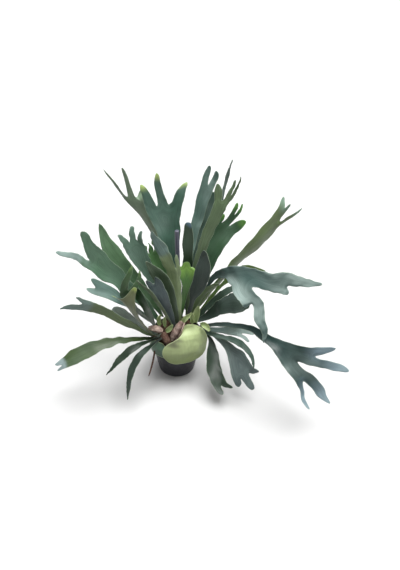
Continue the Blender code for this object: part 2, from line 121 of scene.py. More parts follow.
def noise(tree, place, size, detail, roughness):
    """Noise whose blobs are about the given size across, in metres. At scale 1 a blob is about half
    a unit across."""
    return node(tree, "ShaderNodeTexNoise", Vector=place, Scale=0.5 / size, Detail=detail,
                Roughness=roughness).outputs[0]


def grain(tree, size, detail=3.0, roughness=0.55):
    return noise(tree, node(tree, "ShaderNodeTexCoord").outputs["Object"], size, detail, roughness)


def between(tree, value, low, high, to_low=0.0, to_high=1.0):
    made = node(tree, "ShaderNodeMapRange", i0=value, i1=low, i2=high, i3=to_low, i4=to_high)
    return made.outputs[0]


def sums(tree, operation, first, second, **more):
    """One step of arithmetic on two numbers or sockets."""
    return node(tree, "ShaderNodeMath", {"operation": operation, **more}, i0=first, i1=second).outputs[0]


def read(tree, name, output="Fac"):
    return node(tree, "ShaderNodeAttribute", {"attribute_name": name}).outputs[output]


def bumped(tree, shader, height, depth):
    made = node(tree, "ShaderNodeBump", Height=height, Distance=depth, Strength=1.0)
    tree.links.new(made.outputs[0], shader.inputs["Normal"])


print("one hex code in linear light:", [round(v, 3) for v in linear("#5a6b45")])

# %% [markdown]
# ## Living frond tissue
# A staghorn frond is leathery green tissue under a felt of tiny star-shaped hairs. The felt is
# thick in places and rubbed off in others, so the same frond looks blue-grey here and deep green
# there. The hairs could be modelled one by one, but they are far finer than the eye can part, so
# the shader takes each frond's own green from a colour stored on its mesh, streaks it along the
# blade, lays the felt over it, and draws a line along the margin, pale on living tissue as a painted
# edge highlight. The cuticle is a wax film, so it starts from an IOR of 1.45 and is satin, and the
# felt on it scatters light and is duller.

# %% Sizes of the pattern
STREAK_WIDTH = 1.3 * MM  # real streaks are finer, and are drawn coarse enough to show
VEIN_GAP = 3.2 * MM      # veins run beside the margin about this far apart
MOTTLE_SIZE = 22 * MM    # slow change of green from place to place
HAIR_SIZE = 1.6 * MM     # tufts of felt, coarser than the real hairs
CUTICLE_DEPTH = 0.25 * MM
ALONG = 0.06             # streaks are this much finer along the blade than across it
print("streaks", STREAK_WIDTH / MM, "mm wide, veins", VEIN_GAP / MM, "mm apart")


# %% Leaf material
def leaf_material(name, felt="#90a29c", margin="#a8b8a0", mottle=0.14, rough=0.46, vein=0.10,
                  streak=0.16, rim=0.9, rim_share=0.5):
    """The rim is how wide the margin line is in mm, and rim_share is how strong it is. On living tissue the
    line is pale, a painted edge highlight.
    """
    made, tree, shader = new_material(name)
    green = read(tree, "leaf_colour", "Color")
    streaks = noise(tree, read(tree, "along", "Vector"), STREAK_WIDTH, 3.0, 0.5)
    broad = sums(tree, "MULTIPLY",
                 between(tree, grain(tree, MOTTLE_SIZE), 0.3, 0.7, 1 - mottle, 1 + mottle),
                 between(tree, streaks, 0.3, 0.7, 1 - streak, 1 + streak))
    shade = node(tree, "ShaderNodeVectorMath", {"operation": "SCALE"}, i0=green, Scale=broad).outputs[0]
    patchy = between(tree, streaks, 0.3, 0.7, 0.8, 1.15)
    amount = sums(tree, "MULTIPLY", read(tree, "felt"), patchy, use_clamp=True)
    covered = blend_colours(tree, amount, shade, felt)
    # The margin line: on living tissue a pale painted highlight along the edge.
    edge = between(tree, read(tree, "margin"), 0.0, rim * MM, rim_share, 0.0)
    tree.links.new(blend_colours(tree, edge, covered, margin), shader.inputs["Base Color"])
    # Felt scatters light, so the coated patches are duller than the bare cuticle.
    dull = between(tree, amount, 0.0, 0.6, rough - 0.06, rough + 0.14)
    tree.links.new(dull, shader.inputs["Roughness"])
    # The veins lie under the cuticle and lift it very slightly.
    turn = sums(tree, "MULTIPLY", read(tree, "vein"), math.tau)
    lines = node(tree, "ShaderNodeMath", {"operation": "SINE"}, i0=turn).outputs[0]
    height = node(tree, "ShaderNodeMath", {"operation": "MULTIPLY_ADD"},
                  i0=lines, i1=vein, i2=grain(tree, HAIR_SIZE, 4.0)).outputs[0]
    bumped(tree, shader, height, CUTICLE_DEPTH)
    set_inputs(shader, IOR=1.45, Specular_IOR_Level=0.5, Sheen_Weight=0.1, Sheen_Roughness=0.5,
               Sheen_Tint=(*linear("#c9d6dc"), 1))
    return made


# %% The four leaf finishes
frond_tissue = leaf_material("felted frond tissue")
shield_tissue = leaf_material("smooth shield tissue", felt="#8b8a72", margin="#cfdba6", mottle=0.07,
                              rough=0.5, vein=0.22, streak=0.06, rim=2.2, rim_share=0.75)
young_tissue = leaf_material("downy young tissue", felt="#d5dcc0", margin="#d3dcb4", mottle=0.08,
                             rough=0.62, streak=0.06)
dead_tissue = leaf_material("dry dead frond", felt="#6d5544", margin="#2a1c15", mottle=0.3,
                            rough=0.8, vein=0.3)
print("leaf finishes:", [m.name for m in (frond_tissue, shield_tissue, young_tissue, dead_tissue)])

# %% [markdown]
# ## From a plain solid to a frond
# Each plain frond is a thin closed solid: an upper sheet, an under sheet and a narrow rim. A fine
# frond could be drawn again from nothing, but it would drift from the plain one, so we grow it out
# of that solid. We weld it, join its triangles back into quads, and find the two sheets as the two
# largest patches with no sharp edge inside. That tells the upper side from the underside, which has
# a different green. Walking along the edges from the root gives every point its distance from the
# root and from the nearest tip.

# %% Read the cage of a plain leaf
WELD = 0.02 * MM
JOIN_ANGLE = math.radians(60)
SHARP = math.radians(50)
TOWARDS_FRONT = Vector((0, -0.85, 0.5))


def cage_of(name):
    cage = bmesh.new()
    cage.from_mesh(frame["nodes"][name].data)
    bmesh.ops.remove_doubles(cage, verts=cage.verts, dist=WELD)
    bmesh.ops.join_triangles(cage, faces=cage.faces, angle_face_threshold=JOIN_ANGLE,
                             angle_shape_threshold=JOIN_ANGLE)
    bmesh.ops.recalc_face_normals(cage, faces=cage.faces)
    cage.verts.ensure_lookup_table()
    cage.faces.ensure_lookup_table()
    cage.verts.index_update()
    cage.faces.index_update()
    return cage


def two_sheets(cage):
    patch_of, patches = {}, []
    for seed in cage.faces:
        if seed.index in patch_of:
            continue
        patch = [seed]
        patch_of[seed.index] = len(patches)
        for face in patch:
            for edge in face.edges:
                if len(edge.link_faces) == 2 and edge.calc_face_angle(0) < SHARP:
                    for other in edge.link_faces:
                        if other.index not in patch_of:
                            patch_of[other.index] = len(patches)
                            patch.append(other)
        patches.append(patch)
    patches.sort(key=lambda patch: -sum(face.calc_area() for face in patch))
    return patches[:2]


def walked(cage, starts):
    """The shortest way along the edges from any of the start points to every point."""
    far = [math.inf] * len(cage.verts)
    queue = [(0.0, start.index) for start in starts]
    for _, index in queue:
        far[index] = 0.0
    heapq.heapify(queue)
    while queue:
        so_far, index = heapq.heappop(queue)
        if so_far > far[index]:
            continue
        for edge in cage.verts[index].link_edges:
            other = edge.other_vert(cage.verts[index])
            reach = so_far + edge.calc_length()
            if reach < far[other.index]:
                far[other.index] = reach
                heapq.heappush(queue, (reach, other.index))
    return far


def leaf_points(cage, underside_in_front):
    """For every point of the cage: 1 on the underside, the way from the root, and from a tip. A tip
    is further from the root than all its neighbours."""
    sheets = two_sheets(cage)
    facing = [sum((f.normal * f.calc_area() for f in s), Vector()).dot(TOWARDS_FRONT) for s in sheets]
    front = 0 if facing[0] > facing[1] else 1
    under_sheet = sheets[front if underside_in_front else 1 - front]
    under = [0.0] * len(cage.verts)
    for face in under_sheet:
        for vert in face.verts:
            under[vert.index] = 1.0
    root = min(cage.verts, key=lambda v: (v.co - crown).length)
    from_root = walked(cage, [root])
    tips = [v for v in cage.verts if from_root[v.index] > 0.45 * max(from_root)
            and all(from_root[e.other_vert(v).index] <= from_root[v.index] for e in v.link_edges)]
    return under, from_root, walked(cage, tips)


print("cage of one frond:", len(cage_of("frond_drooping_right").verts), "points")

# %% [markdown]
# ## Rounding, waves and what the shader needs
# A subdivision surface rounds the coarse outline. Real blades aren't flat: they undulate slowly,
# ruffle more towards the margin, and crimp at the very edge. A cloth or growth simulation could
# make such folds, but three sizes of smooth waves give them at once and the same way every time.
# The colours, the felt, the margin and the direction of the streaks are stored on the points, so
# the shader needs no picture.

# %% Sizes of the waves
SLOW_WAVE = (58 * MM, 2.0 * MM)  # each wave is its length and its height
RUFFLE = (22 * MM, 1.0 * MM)
CRIMP = (9 * MM, 0.35 * MM)
RUFFLED_BAND = 11 * MM           # how far in from the margin the ruffle fades
FREE_STALK = (25 * MM, 90 * MM)  # stalks stay where they are up to the first, and are free at the second
FELT_PATCH = 55 * MM


def waves(points, length, seed):
    """Smooth, repeatable displacement vectors of about unit size, with the given wavelength."""
    dice = np.random.default_rng(seed)
    total = np.zeros((len(points), 3))
    for _ in range(6):
        way = dice.normal(size=3)
        pitch = math.tau / (length * dice.uniform(0.7, 1.5)) / np.linalg.norm(way)
        total += np.sin(points @ way * pitch + dice.uniform(0, 7))[:, None] * dice.normal(size=3)
    return total / 3.5


print("slow waves of", SLOW_WAVE[0] / MM, "mm, ruffles of", RUFFLE[0] / MM, "mm")

# %% Values on the points
def smooth(value, low, high):
    share = np.clip((value - low) / (high - low), 0, 1)
    return share * share * (3 - 2 * share)


def store(mesh, name, values, kind="FLOAT"):
    layer = mesh.attributes.new(name, kind, "POINT")
    if kind == "FLOAT":
        layer.data.foreach_set("value", np.asarray(values, np.float32))
    elif kind == "FLOAT_VECTOR":
        layer.data.foreach_set("vector", np.asarray(values, np.float32).ravel())
    else:
        rgba = np.ones((len(values), 4), np.float32)
        rgba[:, :3] = values
        layer.data.foreach_set("color", rgba.ravel())


def numbers(mesh, name):
    values = np.zeros(len(mesh.vertices), np.float32)
    mesh.attributes[name].data.foreach_get("value", values)
    return values.astype(float)


def placed(name, data):
    obj = bpy.data.objects.new(name, data)
    bpy.context.scene.collection.objects.link(obj)
    return obj


def finished(name, mesh, stands_for, material):
    """A finished piece that rides on the pot's body and stands for its plain solids."""
    for poly in mesh.polygons:
        poly.use_smooth = True
    obj = placed(name, mesh)
    mesh.materials.clear()
    mesh.materials.append(material)
    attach(obj, "root")
    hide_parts(*stands_for)
    return obj


def smoother(obj, levels):
    rounder = obj.modifiers.new("round", "SUBSURF")
    rounder.levels = rounder.render_levels = levels


def thickened(obj, thickness, offset):
    """Gives a sheet its thickness and rounds it, because the sheet was built as one layer."""
    thick = obj.modifiers.new("thickness", "SOLIDIFY")
    thick.thickness = thickness
    thick.offset = offset
    smoother(obj, 1)


def settled_mesh(obj):
    """The object's mesh with its modifiers applied. The object itself is taken away."""
    made = bpy.data.meshes.new_from_object(obj.evaluated_get(bpy.context.evaluated_depsgraph_get()))
    bpy.data.objects.remove(obj)
    return made


def skinned(mesh_name, sheet, rows):
    """Joins rows of points with quads and gives the mesh."""
    for first, second in zip(rows, rows[1:]):
        for k in range(len(first) - 1):
            sheet.faces.new((first[k], first[k + 1], second[k + 1], second[k]))
    mesh = bpy.data.meshes.new(mesh_name)
    sheet.to_mesh(mesh)
    sheet.free()
    return mesh


def subdivided(cage, levels, **values):
    """The cage as a fine mesh, with the named values carried onto the new points."""
    mesh = bpy.data.meshes.new("cage")
    cage.to_mesh(mesh)
    cage.free()
    for key, value in values.items():
        store(mesh, key, value)
    holder = placed("cage", mesh)
    smoother(holder, levels)
    return settled_mesh(holder)


def points_of(mesh):
    points = np.zeros(len(mesh.vertices) * 3, np.float32)
    mesh.vertices.foreach_get("co", points)
    return points.reshape(-1, 3).astype(float)


def normals_of(mesh):
    normals = np.zeros(len(mesh.vertices) * 3, np.float32)
    mesh.vertex_normals.foreach_get("vector", normals)
    return normals.reshape(-1, 3).astype(float)


def move_points(mesh, points):
    mesh.vertices.foreach_set("co", points.astype(np.float32).ravel())
    mesh.update()


def margin_distance(points, under):
    rim = points[(under > 0.15) & (under < 0.85)]
    tree = KDTree(len(rim))
    for k, point in enumerate(rim):
        tree.insert(point, k)
    tree.balance()
    return np.array([tree.find(point)[2] for point in points])


def mixed_tone(first, second, share):
    """Hex codes or colours, mixed point by point. A share of 1 is all of the second."""
    first, second = (np.array(linear(c)) if isinstance(c, str) else c for c in (first, second))
    return first * (1 - share) + second * share


print("point tools ready: a crest of the slow wave is", SLOW_WAVE[0] / MM / 2, "mm long")

# %% Grow one leaf
def leaf(name, upper, under_colour, felt=0.2, tip=None, tip_reach=18, showing_under=False,
         ripple=1.0, turned=None, material=frond_tissue, slot="antler_leaf"):
    """Grows the fine leaf of a plain node. Its colours are hex codes, and tip_reach is in mm. A lobe
    that has turned over is (right, back, up, radius) in mm from the crown, and its colour."""
    seed = sum(map(ord, name))
    cage = cage_of(name)
    under, from_root, from_tip = leaf_points(cage, showing_under)
    mesh = subdivided(cage, 2, under=under, from_root=from_root, from_tip=from_tip)
    points = points_of(mesh)
    under, from_root, from_tip = (numbers(mesh, k) for k in ("under", "from_root", "from_tip"))
    margin = margin_distance(points, under)
    free = ripple * smooth(from_root, *FREE_STALK)
    loose = 1 - smooth(margin, 0, RUFFLED_BAND)
    for (length, height), share, seed_shift in (
            (SLOW_WAVE, 1, 0), (RUFFLE, 0.25 + 0.75 * loose, 1), (CRIMP, loose, 2)):
        points += waves(points, length, seed + seed_shift) * (height * free * share)[:, None]
    move_points(mesh, points)

    side = smooth(under, 0.3, 0.7)[:, None]
    colour = mixed_tone(upper, under_colour, side)
    # The tip colour is young growth on most fronds and a painted highlight on the largest low frond.
    if tip:
        near = (1 - smooth(from_tip, 0.25 * tip_reach * MM, tip_reach * MM))[:, None]
        colour = mixed_tone(colour, tip, near)
    if turned:
        away = np.linalg.norm(points - np.array(crown + Vector(turned[:3]) * MM), axis=1) / MM
        over = (1 - smooth(away, 0.7 * turned[3], turned[3]))[:, None]
        colour = mixed_tone(colour, turned[4], over)
    # Stalks are darker near the crown, where other fronds shade them.
    dim = 0.72 + 0.28 * smooth(from_root, 0, 60 * MM)
    store(mesh, "leaf_colour", colour * dim[:, None], "FLOAT_COLOR")
    # Felt lies in patches where nothing rubs it, and faces that look up get more: painted top light.
    patches = 0.8 + 0.9 * waves(points, FELT_PATCH, seed + 3)[:, 0]
    painted_top_light = 0.12 + 1.35 * smooth(normals_of(mesh)[:, 2], 0.1, 0.95)
    store(mesh, "felt", np.clip(felt * patches * painted_top_light * (1 - 0.75 * side[:, 0]), 0, 0.85))
    store(mesh, "margin", margin)
    store(mesh, "vein", margin / VEIN_GAP)
    store(mesh, "along", np.stack([margin, ALONG * from_root, side[:, 0] * 0.1], axis=1), "FLOAT_VECTOR")
    return finished("leaf_" + name, mesh, [name], material)


print("leaf maker ready")

# %% [markdown]
# ## The antler fronds
# No two fronds are alike. Some show the grey-green upper side, some have turned over and show the
# plain olive underside, the youngest are bright green, and the growing tips are lime. On the largest
# low frond a blue-grey tip colour is a painted highlight on its lobes instead. One rule for all would
# look planted by a machine, so a table gives each frond its upper colour, its underside colour, its
# amount of felt and its tip colour.

# %% Tones of the fronds
OLIVE = "#5a6b45"
FRONDS = {
    "frond_tall_rear_left": dict(upper="#4a6654", under_colour="#778c71", felt=0.35, showing_under=True),
    "frond_broad_rear_left": dict(upper="#3b5a4b", under_colour=OLIVE, felt=0.22, tip="#b5cc72",
                                  tip_reach=26),
    "frond_tall_rear_centre": dict(upper="#536f64", under_colour=OLIVE, felt=0.35),
    "frond_dark_strap_rear": dict(upper="#3a5445", under_colour="#3c4e36", felt=0.25),
    "frond_olive_centre": dict(upper="#47625a", under_colour="#5c7050", felt=0.2, showing_under=True),
    "frond_edge_on_rear": dict(upper="#55695f", under_colour="#647457", felt=0.4),
    "frond_antler_right": dict(upper="#2f5132", under_colour=OLIVE, felt=0.12, tip="#5f9440", tip_reach=30),
    "frond_long_olive_right": dict(upper="#47644c", under_colour="#64794a", felt=0.2, tip="#8fae97",
                                   tip_reach=40, showing_under=True),
    "frond_drooping_right": dict(upper="#3a5752", under_colour=OLIVE, felt=0.95),
    "frond_olive_behind_droop": dict(upper="#55743a", under_colour="#5f7d35", felt=0.1, showing_under=True),
    # Its blue-grey tips over 80 mm are a painted highlight on the lobes, and its near-black green is partly
    # painted shade.
    "frond_largest_low_right": dict(upper="#1d3431", under_colour="#506142", felt=0.15, tip="#8196a0",
                                    tip_reach=80),
    "frond_short_grey_right": dict(upper="#849a98", under_colour=OLIVE, felt=0.7),
    "frond_curved_strap_right": dict(upper="#3a5547", under_colour="#495b3a", felt=0.18),
    "frond_hanging_dark_right": dict(upper="#516060", under_colour="#44563d", felt=0.3),
    "frond_by_pot_right": dict(upper="#1d2f1f", under_colour="#495932", felt=0.04),
    "frond_wavy_dark_right": dict(upper="#1e3025", under_colour="#425335", felt=0.15),
    "frond_dark_strap_right": dict(upper="#2d4634", under_colour="#425335", felt=0.2),
    "frond_short_olive_right": dict(upper="#45624a", under_colour="#60744a", felt=0.12, showing_under=True),
    "frond_curled_grey_centre": dict(upper="#2b3731", under_colour="#4f5e42", felt=0.16),
    "frond_small_toothed_centre": dict(upper="#487033", under_colour="#54703a", felt=0.05, tip="#86b34f",
                                       tip_reach=40),
    "frond_round_tip_by_stake": dict(upper="#223720", under_colour="#505f42", felt=0.08, tip="#5a7688",
                                     tip_reach=18),
    "frond_front_olive": dict(upper="#60756c", under_colour="#7e8f68", felt=0.4, showing_under=True,
                              turned=(-34, -6, 214, 46, "#6f867f")),
    "frond_bright_toothed_left": dict(upper="#527a48", under_colour="#527035", felt=0.15),
    "frond_grey_olive_left": dict(upper="#465840", under_colour="#4c5a39", felt=0.25),
    "frond_grey_patch_left": dict(upper="#465457", under_colour="#4c5a39", felt=0.45),
    "frond_narrow_olive_left": dict(upper="#455843", under_colour="#6d7d5c", felt=0.2, showing_under=True),
    "frond_three_lobed_left": dict(upper="#648270", under_colour=OLIVE, felt=0.38),
    "frond_pointed_left": dict(upper="#6a9068", under_colour="#55663d", felt=0.38),
    "frond_large_far_left": dict(upper="#587a60", under_colour="#55663d", felt=0.4,
                                 turned=(-218, -64, 226, 46, "#7f968f")),
    "frond_small_far_left": dict(upper="#66847a", under_colour="#55663d", felt=0.45),
    "frond_curled_fork_left": dict(upper="#3d5a32", under_colour="#4c6638", felt=0.1, tip="#6f8f55",
                                   tip_reach=20),
    "frond_lipped_olive_left": dict(upper="#4d5e3a", under_colour="#70764f", felt=0.15, tip="#9fb05f",
                                    tip_reach=18, showing_under=True),
    "frond_dark_wide_left": dict(upper="#2c4c26", under_colour="#354c2c", felt=0.1),
    "frond_blue_grey_left": dict(upper="#b0bfb4", under_colour="#4c5a39", felt=0.6),
    "frond_forked_olive_left": dict(upper="#476250", under_colour="#63764c", felt=0.2, showing_under=True,
                                    turned=(-206, -107, 138, 54, "#7b918a")),
    "frond_lowest_left": dict(upper="#3e522a", under_colour="#4c5f38", felt=0.06,
                              turned=(-256, -137, -24, 30, "#8b9c9c")),
    "frond_small_low_left": dict(upper="#1d2f1d", under_colour="#425331", felt=0.03),
    "frond_hanging_left": dict(upper="#1f3023", under_colour="#425331", felt=0.05),
}
print("tones for", len(FRONDS), "fronds")

# %% Grow the fronds
for name, tones in FRONDS.items():
    grown = leaf(name, **tones)
print("fronds:", len(FRONDS), "and the last has", len(grown.data.vertices), "points")

# %% [markdown]
# ## New fronds and the dead strip
# The newest fronds are short cupped tongues under thick pale down. Their plain solids are too small
# and simple to grow a curl from, so each is built again in place: rows of points along a bent
# middle line, hollowed like a spoon, with the end curling over. One old frond has dried to a dark
# brown strip that hangs down the side of the pot, and it is grown like the other leaves.

# %% Build a young frond
CUP = 0.55   # how hollow the tongue is, as a share of its half width
CURL = 0.5   # how far its end curls over, as a share of its width
YOUNG_THICKNESS = 0.9 * MM


def young_frond(name, foot, bend, head, width, opens, seed):
    """A cupped tongue from foot to head by way of bend, all in mm from the crown. It is hollow on
    the side that it opens to, and its rounded end curls over that way."""
    foot, bend, head = (crown + Vector(p) * MM for p in (foot, bend, head))
    sheet = bmesh.new()
    across, along = 11, 18
    rows, pale = [], []
    for v in range(along):
        share = v / (along - 1)
        centre = foot * (1 - share) ** 2 + bend * 2 * share * (1 - share) + head * share ** 2
        ahead = ((bend - foot) * (1 - share) + (head - bend) * share).normalized()
        side = ahead.cross(Vector(opens)).normalized()
        face = side.cross(ahead).normalized()
        half = 0.5 * width * MM * math.sin(math.pi * (0.10 + 0.86 * share ** 1.25)) ** 0.7
        over = CURL * width * MM * max(0, share - 0.6) ** 2 * 5
        row = []
        for u in range(across):
            spot = u / (across - 1) * 2 - 1
            wave = 0.06 * width * MM * math.sin(7 * share + 4 * spot + seed) * abs(spot)
            row.append(sheet.verts.new(centre + side * spot * half * (1 - 0.2 * CUP * spot ** 2)
                                       + face * (CUP * half * spot ** 2 + over + wave)))
            pale.append(abs(spot) ** 3 * 0.6 + 0.4 * share)
        rows.append(row)
    mesh = skinned(name, sheet, rows)
    pale = np.array(pale)[:, None]
    store(mesh, "leaf_colour", mixed_tone("#6b893c", "#c0ce92", pale), "FLOAT_COLOR")
    store(mesh, "felt", np.full(len(pale), 0.15))
    store(mesh, "margin", np.full(len(pale), 10 * MM))
    store(mesh, "along", np.zeros((len(pale), 3)), "FLOAT_VECTOR")
    obj = finished("leaf_" + name, mesh, [name], young_tissue)
    thickened(obj, YOUNG_THICKNESS, 0)
    return obj


print("young frond maker ready, thickness", YOUNG_THICKNESS / MM, "mm")

# %% The seven new fronds and the dead strip
young_frond("new_frond_left_outer", (-32, -31, 2), (-44, -33, 16), (-34, -31, 38), 15, (1, -1, 0.2), 1)
young_frond("new_frond_left_middle", (-21, -35, 0), (-30, -37, 18), (-20, -34, 36), 12, (1, -1, 0.3), 2)
young_frond("new_frond_left_inner", (-22, -44, -6), (-12, -48, 0), (-2, -44, 16), 13, (-0.4, -1, 0.9), 3)
young_frond("new_frond_right_tall", (48, -34, 12), (47, -36, 36), (58, -31, 60), 19, (-0.6, -1, 0.4), 4)
young_frond("new_frond_right_middle", (37, -29, 6), (45, -32, 22), (38, -27, 40), 15, (-0.5, -1, 0.5), 5)
young_frond("new_frond_right_inner", (16, -33, 8), (20, -35, 24), (38, -31, 33), 13, (0.2, -0.6, 1), 6)
young_frond("new_frond_right_low", (57, -31, 4), (68, -36, 12), (76, -40, -6), 15, (0.2, -1, 0.6), 7)
leaf("dead_frond_strip", upper="#4a2f22", under_colour="#33211a", felt=0.2, material=dead_tissue,
     slot="dead_leaf", ripple=1.2)
young = [o.name for o in bpy.data.objects if o.name.startswith("leaf_new")]
print("new fronds:", len(young), "and one dead strip")

# %% [markdown]
# ## The shield fronds
# A shield is a round plate that the fern presses over its root ball to catch rain and leaf litter.
# It has no stalk. It starts pale green and felted, bulges over what it covers, and shows radiating
# veins. It is grown from its plain solid as the fronds are, but it only swells in and out from the
# pot's axis, because it lies against the mound. A grey patch is left where it began to die back.

# %% Grow a shield
SHIELD_SWELL = (34 * MM, 0.9 * MM)
SHIELD_DIMPLES = (12 * MM, 0.25 * MM)
SHIELD_VEINS = 60  # veins in a whole turn


def shield(name, colour, painted_shade_foot_colour, patch=None):
    """A patch is a point, a hex code and a size in mm."""
    cage = cage_of(name)
    mesh = subdivided(cage, 3, under=leaf_points(cage, False)[0])
    points = points_of(mesh)
    margin = margin_distance(points, numbers(mesh, "under"))
    seed = len(name)
    out = points.copy()
    out[:, 2] = 0
    out /= np.linalg.norm(out, axis=1)[:, None] + 1e-9
    points += out * (waves(points, SHIELD_SWELL[0], seed)[:, :1] * SHIELD_SWELL[1])
    points += waves(points, SHIELD_DIMPLES[0], seed + 1) * SHIELD_DIMPLES[1]
    move_points(mesh, points)
    # Painted shade: the shield darkens towards its foot and is lighter on top.
    low, high = points[:, 2].min(), points[:, 2].max()
    painted_light_rise = smooth(points[:, 2], low, low + 0.55 * (high - low))[:, None]
    shades = mixed_tone(painted_shade_foot_colour, colour, painted_light_rise)
    if patch:
        place, patch_colour, size = patch
        away = np.linalg.norm(points - np.array(place), axis=1)
        ragged = 5 * MM * waves(points, 14 * MM, 5)[:, 0]
        spot = (1 - smooth(away + ragged, 0, size * MM))[:, None]
        shades = mixed_tone(shades, patch_colour, 0.8 * spot)
    store(mesh, "leaf_colour", shades, "FLOAT_COLOR")
    store(mesh, "felt", np.full(len(points), 0.08))
    store(mesh, "margin", margin)
    heading = np.arctan2(points[:, 0] - crown.x, -(points[:, 1] - crown.y))
    store(mesh, "vein", heading * SHIELD_VEINS / math.tau)
    along = np.stack([heading * 50 * MM, ALONG * points[:, 2], 0 * heading], axis=1)
    store(mesh, "along", along, "FLOAT_VECTOR")
    return finished("leaf_" + name, mesh, [name], shield_tissue)


# %% The two shields
front = shield("shield_frond_front", "#b4c48c", "#93a468",
               patch=(crown + Vector((-3, -72, -14)) * MM, "#4a453c", 30))
left = shield("shield_frond_left", "#5d7d69", "#4e6c59")
print("points in the shields:", len(front.data.vertices), len(left.data.vertices))

# %% [markdown]
# ## Bark-like remains
# Dead shields dry to brown paper. They curl into rolls with a torn edge, and their layers build up
# into the mound that the fern sits on. Dry plant fibre is matt, so its roughness is high. It is
# streaked along the old veins and tan on the crests, and painted shade makes it nearly black in the
# hollows: the inner windings of a roll, the feet of the plates and the core under them. A plain brown
# with noise would look like clay, so the streaks follow the sheet by a direction stored on it.

# %% Papery brown material
PAPER_STREAK = 1.2 * MM
PAPER_BLOTCH = 8 * MM
PAPER_DEPTH = 0.8 * MM


def paper_material(name, crest, body, dark_streak_and_shade):
    made, tree, shader = new_material(name)
    blotch = between(tree, grain(tree, PAPER_BLOTCH, 5.0, 0.65), 0.35, 0.65)
    first = blend_colours(tree, blotch, body, crest)
    lines = noise(tree, read(tree, "streak", "Vector"), PAPER_STREAK, 4.0, 0.6)
    second = blend_colours(tree, between(tree, lines, 0.36, 0.6, 0.6, 0.0), first, dark_streak_and_shade)
    # Painted shade: the stored depth darkens the paper in hollows, inner windings and under plates.
    with_painted_shade = blend_colours(tree, between(tree, read(tree, "depth"), 0.0, 1.0), second, dark_streak_and_shade)
    tree.links.new(with_painted_shade, shader.inputs["Base Color"])
    set_inputs(shader, Roughness=0.82, IOR=1.45)
    bumped(tree, shader, lines, PAPER_DEPTH)
    return made


old_paper = paper_material("dry shield paper", "#dfc9bb", "#b4968a", "#452f27")
rust_paper = paper_material("rusty shield paper", "#8d7160", "#66463a", "#211510")
mound_paper = paper_material("matted brown layers", "#7a5c45", "#513a2b", "#1d1410")
print("papers:", [m.name for m in (old_paper, rust_paper, mound_paper)])

# %% Curl a roll
ROLL_STEPS, ROLL_SIDES = 30, 28
PAPER_THICKNESS = 0.9 * MM
ROLL_REACH = 1.2  # the torn outer edge stands a little outside the plain roll


def curled_roll(name, path, material, seed, turns=1.35):
    """A sheet rolled up along a path of (right, back, up, radius) points in mm from the crown."""
    dice = np.random.default_rng(seed)
    keys = np.array(path, float)
    spots = np.linspace(0, len(keys) - 1, ROLL_STEPS)
    line = np.stack([np.interp(spots, range(len(keys)), keys[:, k]) for k in range(4)], axis=1)
    for _ in range(3):
        line[1:-1] = (line[:-2] + 2 * line[1:-1] + line[2:]) / 4
    sheet = bmesh.new()
    rows, streaks, painted_shade_depths = [], [], []
    start = dice.uniform(0, 6)
    for k, (x, y, z, radius) in enumerate(line):
        centre = crown + Vector((x, y, z)) * MM
        ahead = Vector(line[min(k + 1, ROLL_STEPS - 1)][:3] - line[max(k - 1, 0)][:3]).normalized()
        side = ahead.cross(Vector((0.3, -0.6, 0.75))).normalized()
        up = side.cross(ahead)
        row = []
        ragged = 1 + 0.10 * math.sin(k * 0.9 + seed) + dice.uniform(-0.04, 0.04)
        for s in range(ROLL_SIDES):
            share = s / (ROLL_SIDES - 1)
            angle = start + share * turns * math.tau * ragged + 0.02 * k
            shrink = (1 - 0.5 * share) * (1 + 0.05 * math.sin(5 * angle + k * 0.35))
            reach = ROLL_REACH * radius * MM * shrink
            row.append(sheet.verts.new(centre + side * math.cos(angle) * reach
                                       + up * math.sin(angle) * reach
                                       + ahead * dice.uniform(-0.25, 0.25) * MM))
            streaks.append((share * 60 * MM, k * 0.5 * MM, seed * 0.05))
            # Painted shade: the inner windings get a larger depth, so they darken.
            painted_shade_depths.append(share ** 2)
        rows.append(row)
    mesh = skinned(name, sheet, rows)
    store(mesh, "streak", streaks, "FLOAT_VECTOR")
    store(mesh, "depth", painted_shade_depths)
    obj = finished("curl_" + name, mesh, [name], material)
    thickened(obj, PAPER_THICKNESS, -1)
    return obj


# %% The three rolls
curled_roll("old_base_left",
            [(-58, -43, 3, 4), (-48, -46, 5, 7), (-38, -48, 3, 8), (-29, -48, -2, 5)], old_paper, 3)
curled_roll("old_base_middle",
            [(-24, -51, 0, 4), (-22, -56, -9, 7), (-17, -58, -20, 7), (-13, -59, -29, 4)],
            rust_paper, 5)
roll = curled_roll("old_base_right", [(17, -38, 18, 6), (10, -46, 10, 9), (2, -52, -2, 10),
                                      (-3, -54, -13, 8), (-5, -56, -22, 4)], old_paper, 8, turns=1.2)
print("points in the last roll:", len(roll.data.vertices))

# %% [markdown]
# ## The mound
# Under the fronds lies the creeping rhizome, wrapped in layer on layer of dead shields and covered
# in narrow brown scales like coarse fur. Its plain solid is one smooth cap, so the detail is
# planted on it: ragged papery plates overlap from the foot up as bracts wrap an artichoke, and the
# fur stands between the stalks. Real plates and real fur throw the small shadows that a bump map
# on the cap could not.

# %% The shape of the mound
mound_low, mound_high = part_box("rhizome")
mound_mid = (mound_low + mound_high) / 2
mound_half = (mound_high - mound_low) / 2


def mound_point(heading, share, lift=0.0):
    """A point on the mound: share 0 at the soil and 1 at the top."""
    flare = math.cos(share * math.pi / 2) ** 0.55 if share < 1 else 0
    return Vector((mound_mid.x + math.sin(heading) * (mound_half.x * flare + lift),
                   mound_mid.y - math.cos(heading) * (mound_half.y * flare + lift),
                   mound_low.z + share * (mound_high.z - mound_low.z - 3 * MM) + lift * 0.3))


dice = np.random.default_rng(11)
mound = bmesh.new()
streaks, painted_shade_depths = [], []


